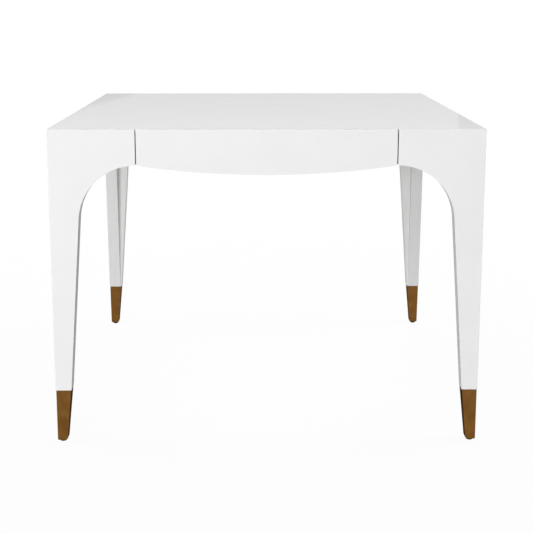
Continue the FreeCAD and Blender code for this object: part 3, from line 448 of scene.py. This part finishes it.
def turned(profile, steps):
    """Round shape about Z from a profile of (radius, height) points in mm, first and last on the axis."""
    shape = bmesh.new()
    verts = [shape.verts.new((radius * MM, 0, height * MM)) for radius, height in profile]
    edges = [shape.edges.new(pair) for pair in zip(verts, verts[1:])]
    bmesh.ops.spin(shape, geom=verts + edges, cent=(0, 0, 0), axis=(0, 0, 1), angle=math.tau, steps=steps,
                   use_merge=True)
    bmesh.ops.remove_doubles(shape, verts=shape.verts, dist=0.001 * MM)
    bmesh.ops.recalc_face_normals(shape, faces=shape.faces)
    return shape


def make_glide(name, material):
    """Moulded glide with a rolled lower edge and the blind bore that holds its nail."""
    shape = turned([(0, 1.4), (1.35, 1.4), (1.35, 4), (7.8, 4), (8, 3.8), (8, 1.6), (7.75, 0.9), (7.2, 0.3),
                    (6.4, 0), (0, 0)], steps=48)
    lows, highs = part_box(name)
    centre = (lows + highs) / 2
    bmesh.ops.translate(shape, verts=shape.verts, vec=(centre.x, centre.y, 0))
    add_piece(f"{name}_moulded", shape, [material], "black_nylon", name)


def screw(length):
    """Pan-headed wood screw, the top of its head at the origin."""
    shape = turned([(0, 0), (3.1, 0), (3.75, 0.4), (4, 1.2), (4, 2.5), (2, 2.5), (2, length - 4),
                    (0, length)], steps=24)
    # The drive recess is a 2.5 mm square, pushed 1.5 mm into the disc that closes the head.
    bmesh.ops.dissolve_verts(shape, verts=[vert for vert in shape.verts if vert.co.length < 1e-6])
    head = min(shape.faces, key=lambda face: face.calc_center_median().z)
    bmesh.ops.inset_individual(shape, faces=[head], thickness=1.3 * MM)
    half = 1.25 * MM
    for vert in head.verts:
        reach = max(abs(vert.co.x), abs(vert.co.y))
        vert.co.x, vert.co.y = vert.co.x * half / reach, vert.co.y * half / reach
    pushed = bmesh.ops.extrude_face_region(shape, geom=[head])
    floor = [item for item in pushed["geom"] if isinstance(item, bmesh.types.BMVert)]
    bmesh.ops.translate(shape, verts=floor, vec=(0, 0, 1.5 * MM))
    bmesh.ops.delete(shape, geom=[head], context="FACES_ONLY")
    return shape


def nail(length):
    """Round wire nail with its point up."""
    return turned([(0, 0), (1.0, 0), (1.25, 0.25), (1.25, length - 3), (0, length)], steps=16)


def dowel(length):
    """Turned dowel with chamfered ends."""
    return turned([(0, 0), (3.2, 0), (4, 1), (4, length - 1), (3.2, length), (0, length)], steps=24)


def solids_of(name):
    """Points of each separate solid of a CAD group, as lists."""
    shape = bmesh.new()
    shape.from_mesh(nodes[name].data)
    bmesh.ops.remove_doubles(shape, verts=shape.verts, dist=TOUCH)
    seen = set()
    solids = []
    for start in shape.verts:
        if start in seen:
            continue
        seen.add(start)
        solid = [start]
        # The list grows while it is walked, until it holds every point that edges lead to.
        for vert in solid:
            for edge in vert.link_edges:
                other = edge.other_vert(vert)
                if other not in seen:
                    seen.add(other)
                    solid.append(other)
        solids.append([vert.co.copy() for vert in solid])
    shape.free()
    return solids


def end_disc(points, axis, end):
    """Width and middle of the points that lie at one end of a solid."""
    near = [point for point in points if abs(point[axis] - end) < TOUCH]
    width = max((first - second).length for first in near for second in near)
    return width, sum(near, Vector()) / len(near)


def make_group(name, make_part, material, slot):
    """One piece that holds a turned part in place of each solid of a CAD group.

    make_part gives the part for a length in mm, from the wider end of the solid up along Z.
    """
    group = bmesh.new()
    for points in solids_of(name):
        lows = [min(point[i] for point in points) for i in range(3)]
        highs = [max(point[i] for point in points) for i in range(3)]
        spans = [high - low for low, high in zip(lows, highs)]
        axis = spans.index(max(spans))
        low_end = end_disc(points, axis, lows[axis])
        high_end = end_disc(points, axis, highs[axis])
        upward = low_end[0] >= high_end[0]
        base = low_end[1] if upward else high_end[1]
        direction = Vector((0, 0, 0))
        direction[axis] = 1 if upward else -1
        turn = Vector((0, 0, 1)).rotation_difference(direction).to_matrix().to_4x4()
        part = make_part(round(spans[axis] / MM, 2))
        one = bpy.data.meshes.new("one")
        part.to_mesh(one)
        part.free()
        one.transform(Matrix.Translation(base) @ turn)
        group.from_mesh(one)
        bpy.data.meshes.remove(one)
    add_piece(f"{name}_turned", group, [material], slot, name)


corners = ("front_left", "front_right", "back_right", "back_left")
boards = [name for name in nodes if name.endswith(("_board", "_apron"))]
x_rails = ["front_backing_rail", "back_backing_rail"]
y_rails = ["left_backing_rail", "right_backing_rail", "left_batten", "right_batten"]
blocks = [f"{corner}_corner_block" for corner in corners]

# The third is no finish but the dark painted shade of the reveals.
lacquers = [white_lacquer(), satin_lacquer(), reveal_painted_shade()]
brass = antique_brass()
nylon = black_nylon()
steel = zinc_steel()
beech = bare_wood("beech_turned", "#CFA67C", "#B98D62", 1, 0.55, (1, 1, 1))

dress(x_rails + blocks, bare_wood("poplar_planed_grain_along_x", "#C9B48C", "#A98F66", 3, 0.65, (0.04, 1, 1)))
dress(y_rails, bare_wood("poplar_planed_grain_along_y", "#C9B48C", "#A98F66", 3, 0.65, (1, 0.04, 1)))
dress([f"{corner}_leg_spline" for corner in corners],
      bare_wood("birch_plywood_sawn", "#D8BE92", "#BFA078", 1.5, 0.7, (1, 1, 0.05)))

for board in boards:
    make_white_board(board, lacquers)
make_tabletop(lacquers[:2])
for corner in corners:
    make_sabot(f"{corner}_sabot", brass)
    make_glide(f"{corner}_glide", nylon)
for screws in ("rail_screws", "top_screws", "batten_screws", "corner_block_screws"):
    make_group(screws, screw, steel, "zinc_steel")
make_group("glide_nails", nail, steel, "zinc_steel")
make_group("apron_dowels", dowel, beech, "beech")


# ------------------------------------------------------------------ studio
def camera_like_rays(tree):
    """1 for rays that should see the background itself: camera, mirror and glass rays."""
    path = add(tree, "ShaderNodeLightPath")
    seen = add(tree, "ShaderNodeMath", {"operation": "MAXIMUM"},
               {0: path.outputs["Is Camera Ray"], 1: path.outputs["Is Glossy Ray"]})
    both = add(tree, "ShaderNodeMath", {"operation": "MAXIMUM"},
               {0: seen.outputs["Value"], 1: path.outputs["Is Transmission Ray"]})
    return both.outputs["Value"]


def make_world():
    """White where it is seen or mirrored, a softer grey where it lights the table."""
    world = bpy.data.worlds.new("studio")
    bpy.context.scene.world = world
    world.use_nodes = True
    tree = world.node_tree
    tree.nodes.clear()
    light = add(tree, "ShaderNodeBackground", {"Color": srgb("#FFFFFF"), "Strength": 0.1})
    seen = add(tree, "ShaderNodeBackground", {"Color": srgb("#FFFFFF"), "Strength": 1.0})
    mix = add(tree, "ShaderNodeMixShader", links={
        0: camera_like_rays(tree), 1: light.outputs["Background"], 2: seen.outputs["Background"]})
    add(tree, "ShaderNodeOutputWorld", links={"Surface": mix.outputs["Shader"]})


def stage_object(name, shape, material):
    """Make a shape a part of the studio."""
    mesh = bpy.data.meshes.new(name)
    shape.to_mesh(mesh)
    shape.free()
    mesh.materials.append(material)
    thing = bpy.data.objects.new(name, mesh)
    bpy.context.scene.collection.objects.link(thing)
    return thing


def make_floor():
    """Paper sweep: nearly its own white where it is seen, a darker grey where it lights the table."""
    material, tree, place = new_material("paper_sweep")
    grey = add(tree, "ShaderNodeBsdfDiffuse", {"Color": srgb("#A8A8A8")})
    white = add(tree, "ShaderNodeBsdfDiffuse", {"Color": srgb("#F2F2F2")})
    bright = add(tree, "ShaderNodeEmission", {"Color": srgb("#FFFFFF"), "Strength": 1.0})
    # The share of its own white grows from 94% beside the table to all of it 3 m away.
    reach = add(tree, "ShaderNodeVectorMath", {"operation": "LENGTH"}, {"Vector": place})
    share = add(tree, "ShaderNodeMapRange", {"From Min": 0.9, "From Max": 3.0, "To Min": 0.94, "To Max": 1.0},
                {"Value": reach.outputs["Value"]})
    seen = add(tree, "ShaderNodeMixShader", links={
        0: share.outputs["Result"], 1: white.outputs["BSDF"], 2: bright.outputs["Emission"]})
    sheet = add(tree, "ShaderNodeMixShader", links={
        0: camera_like_rays(tree), 1: grey.outputs["BSDF"], 2: seen.outputs["Shader"]})
    # From beneath the paper is clear, so that the underside of the table can be looked at.
    beneath = add(tree, "ShaderNodeMixShader", links={
        0: add(tree, "ShaderNodeNewGeometry").outputs["Backfacing"], 1: sheet.outputs["Shader"],
        2: add(tree, "ShaderNodeBsdfTransparent").outputs["BSDF"]})
    add(tree, "ShaderNodeOutputMaterial", links={"Surface": beneath.outputs["Shader"]})
    shape = bmesh.new()
    bmesh.ops.create_grid(shape, x_segments=1, y_segments=1, size=14)
    stage_object("floor", shape, material)


def add_mirror_card(name, shape, low_tone, high_tone):
    """Studio card that only mirrors see: it gives the polished lacquer the greys of a room.

    It has the low tone up to a height of 0.95 m, and runs from there to the high tone at 1.25 m.
    """
    material, tree, place = new_material(f"{name}_paper")
    height = add(tree, "ShaderNodeSeparateXYZ", links={"Vector": place}).outputs["Z"]
    rise = add(tree, "ShaderNodeMapRange", {"From Min": 0.95, "From Max": 1.25}, {"Value": height})
    tone = add(tree, "ShaderNodeMixRGB", {"Color1": srgb(low_tone), "Color2": srgb(high_tone)},
               {"Fac": rise.outputs["Result"]})
    shine = add(tree, "ShaderNodeEmission", {"Strength": 1.0}, {"Color": tone.outputs["Color"]})
    add(tree, "ShaderNodeOutputMaterial", links={"Surface": shine.outputs["Emission"]})
    card = stage_object(name, shape, material)
    card.visible_camera = False
    card.visible_diffuse = False
    card.visible_shadow = False


def wall_ring():
    """Low round wall about the table, from just under the level of its top to 3.2 m."""
    foot, top = 0.75, 3.2
    shape = bmesh.new()
    bmesh.ops.create_circle(shape, segments=96, radius=4.0)
    bmesh.ops.translate(shape, verts=shape.verts, vec=(0, 0, foot))
    raised = bmesh.ops.extrude_edge_only(shape, edges=shape.edges)
    rim = [item for item in raised["geom"] if isinstance(item, bmesh.types.BMVert)]
    bmesh.ops.translate(shape, verts=rim, vec=(0, 0, top - foot))
    return shape


def upright_card(points):
    """Flat card through its corner points."""
    shape = bmesh.new()
    bmesh.ops.contextual_create(shape, geom=[shape.verts.new(point) for point in points])
    return shape


def aim(thing, place, target):
    """Put an object at a place, facing a target."""
    thing.location = place
    thing.rotation_euler = (Vector(target) - Vector(place)).to_track_quat("-Z", "Y").to_euler()


def add_softbox(name, place, target, size, watts):
    """Large soft rectangular lamp, its size a width and a height."""
    lamp = bpy.data.lights.new(name, "AREA")
    lamp.shape = "RECTANGLE"
    lamp.size, lamp.size_y = size
    lamp.energy = watts
    thing = bpy.data.objects.new(name, lamp)
    bpy.context.scene.collection.objects.link(thing)
    aim(thing, place, target)
    # The boxes light the table, and its gloss shows the plain studio, not the boxes.
    thing.visible_glossy = False


def make_camera():
    """Camera in front of the table, a little left of its middle and above its top."""
    data = bpy.data.cameras.new("camera")
    data.sensor_width = 36.0
    data.lens = 73.47
    # Shifting the lens down leaves less tilt, so the legs lean less in the render.
    data.shift_y = -0.12
    camera = bpy.data.objects.new("camera", data)
    bpy.context.scene.collection.objects.link(camera)
    place = Vector((-0.0209, -3.0045, 1.0465))
    pitch = math.radians(10.364)
    yaw = math.radians(0.463)
    look = Vector((math.sin(yaw) * math.cos(pitch), math.cos(yaw) * math.cos(pitch), -math.sin(pitch)))
    aim(camera, place, place + look)
    bpy.context.scene.camera = camera


make_world()
make_floor()
add_mirror_card("studio_wall", wall_ring(), "#D3D3D3", "#EDEDED")
# Two darker flags in front of the wall, mirrored at the far left and the right corner of the top.
add_mirror_card("left_flag", upright_card([
    (-0.80, 3.8, 0.75), (-2.6, 3.8, 0.75), (-2.6, 3.8, 1.45), (-1.10, 3.8, 1.113), (-0.80, 3.8, 1.035)]),
    "#C4C4C4", "#D0D0D0")
add_mirror_card("right_flag", upright_card([
    (1.22, 3.7, 0.75), (2.4, 3.7, 0.75), (2.4, 3.7, 2.2), (1.22, 3.7, 2.2)]),
    "#C8C8C8", "#DCDCDC")
# The key stands low and far away, so that its light also reaches the rear legs under the apron.
add_softbox("key", (-1.6, -8.8, 1.2), target=(0, -0.4, 0.4), size=(5.0, 2.0), watts=455)
# The high key stands near, so that the front falls off in tone downwards and to the right.
add_softbox("high_key", (-1.3, -3.6, 2.4), target=(0, -0.4, 0.5), size=(2.4, 1.4), watts=37)
# The others light the sides, the back and the top.
add_softbox("left_side", (-3.6, 0.4, 3.0), target=(-0.5, 0, 0.5), size=(2.0, 2.0), watts=76)
add_softbox("right_side", (3.6, 0.4, 3.0), target=(0.5, 0, 0.5), size=(2.0, 2.0), watts=97)
add_softbox("back", (0, 4.6, 3.0), target=(0, 0.5, 0.5), size=(2.4, 2.0), watts=116)
make_camera()
bpy.context.scene.view_settings.view_transform = "Standard"
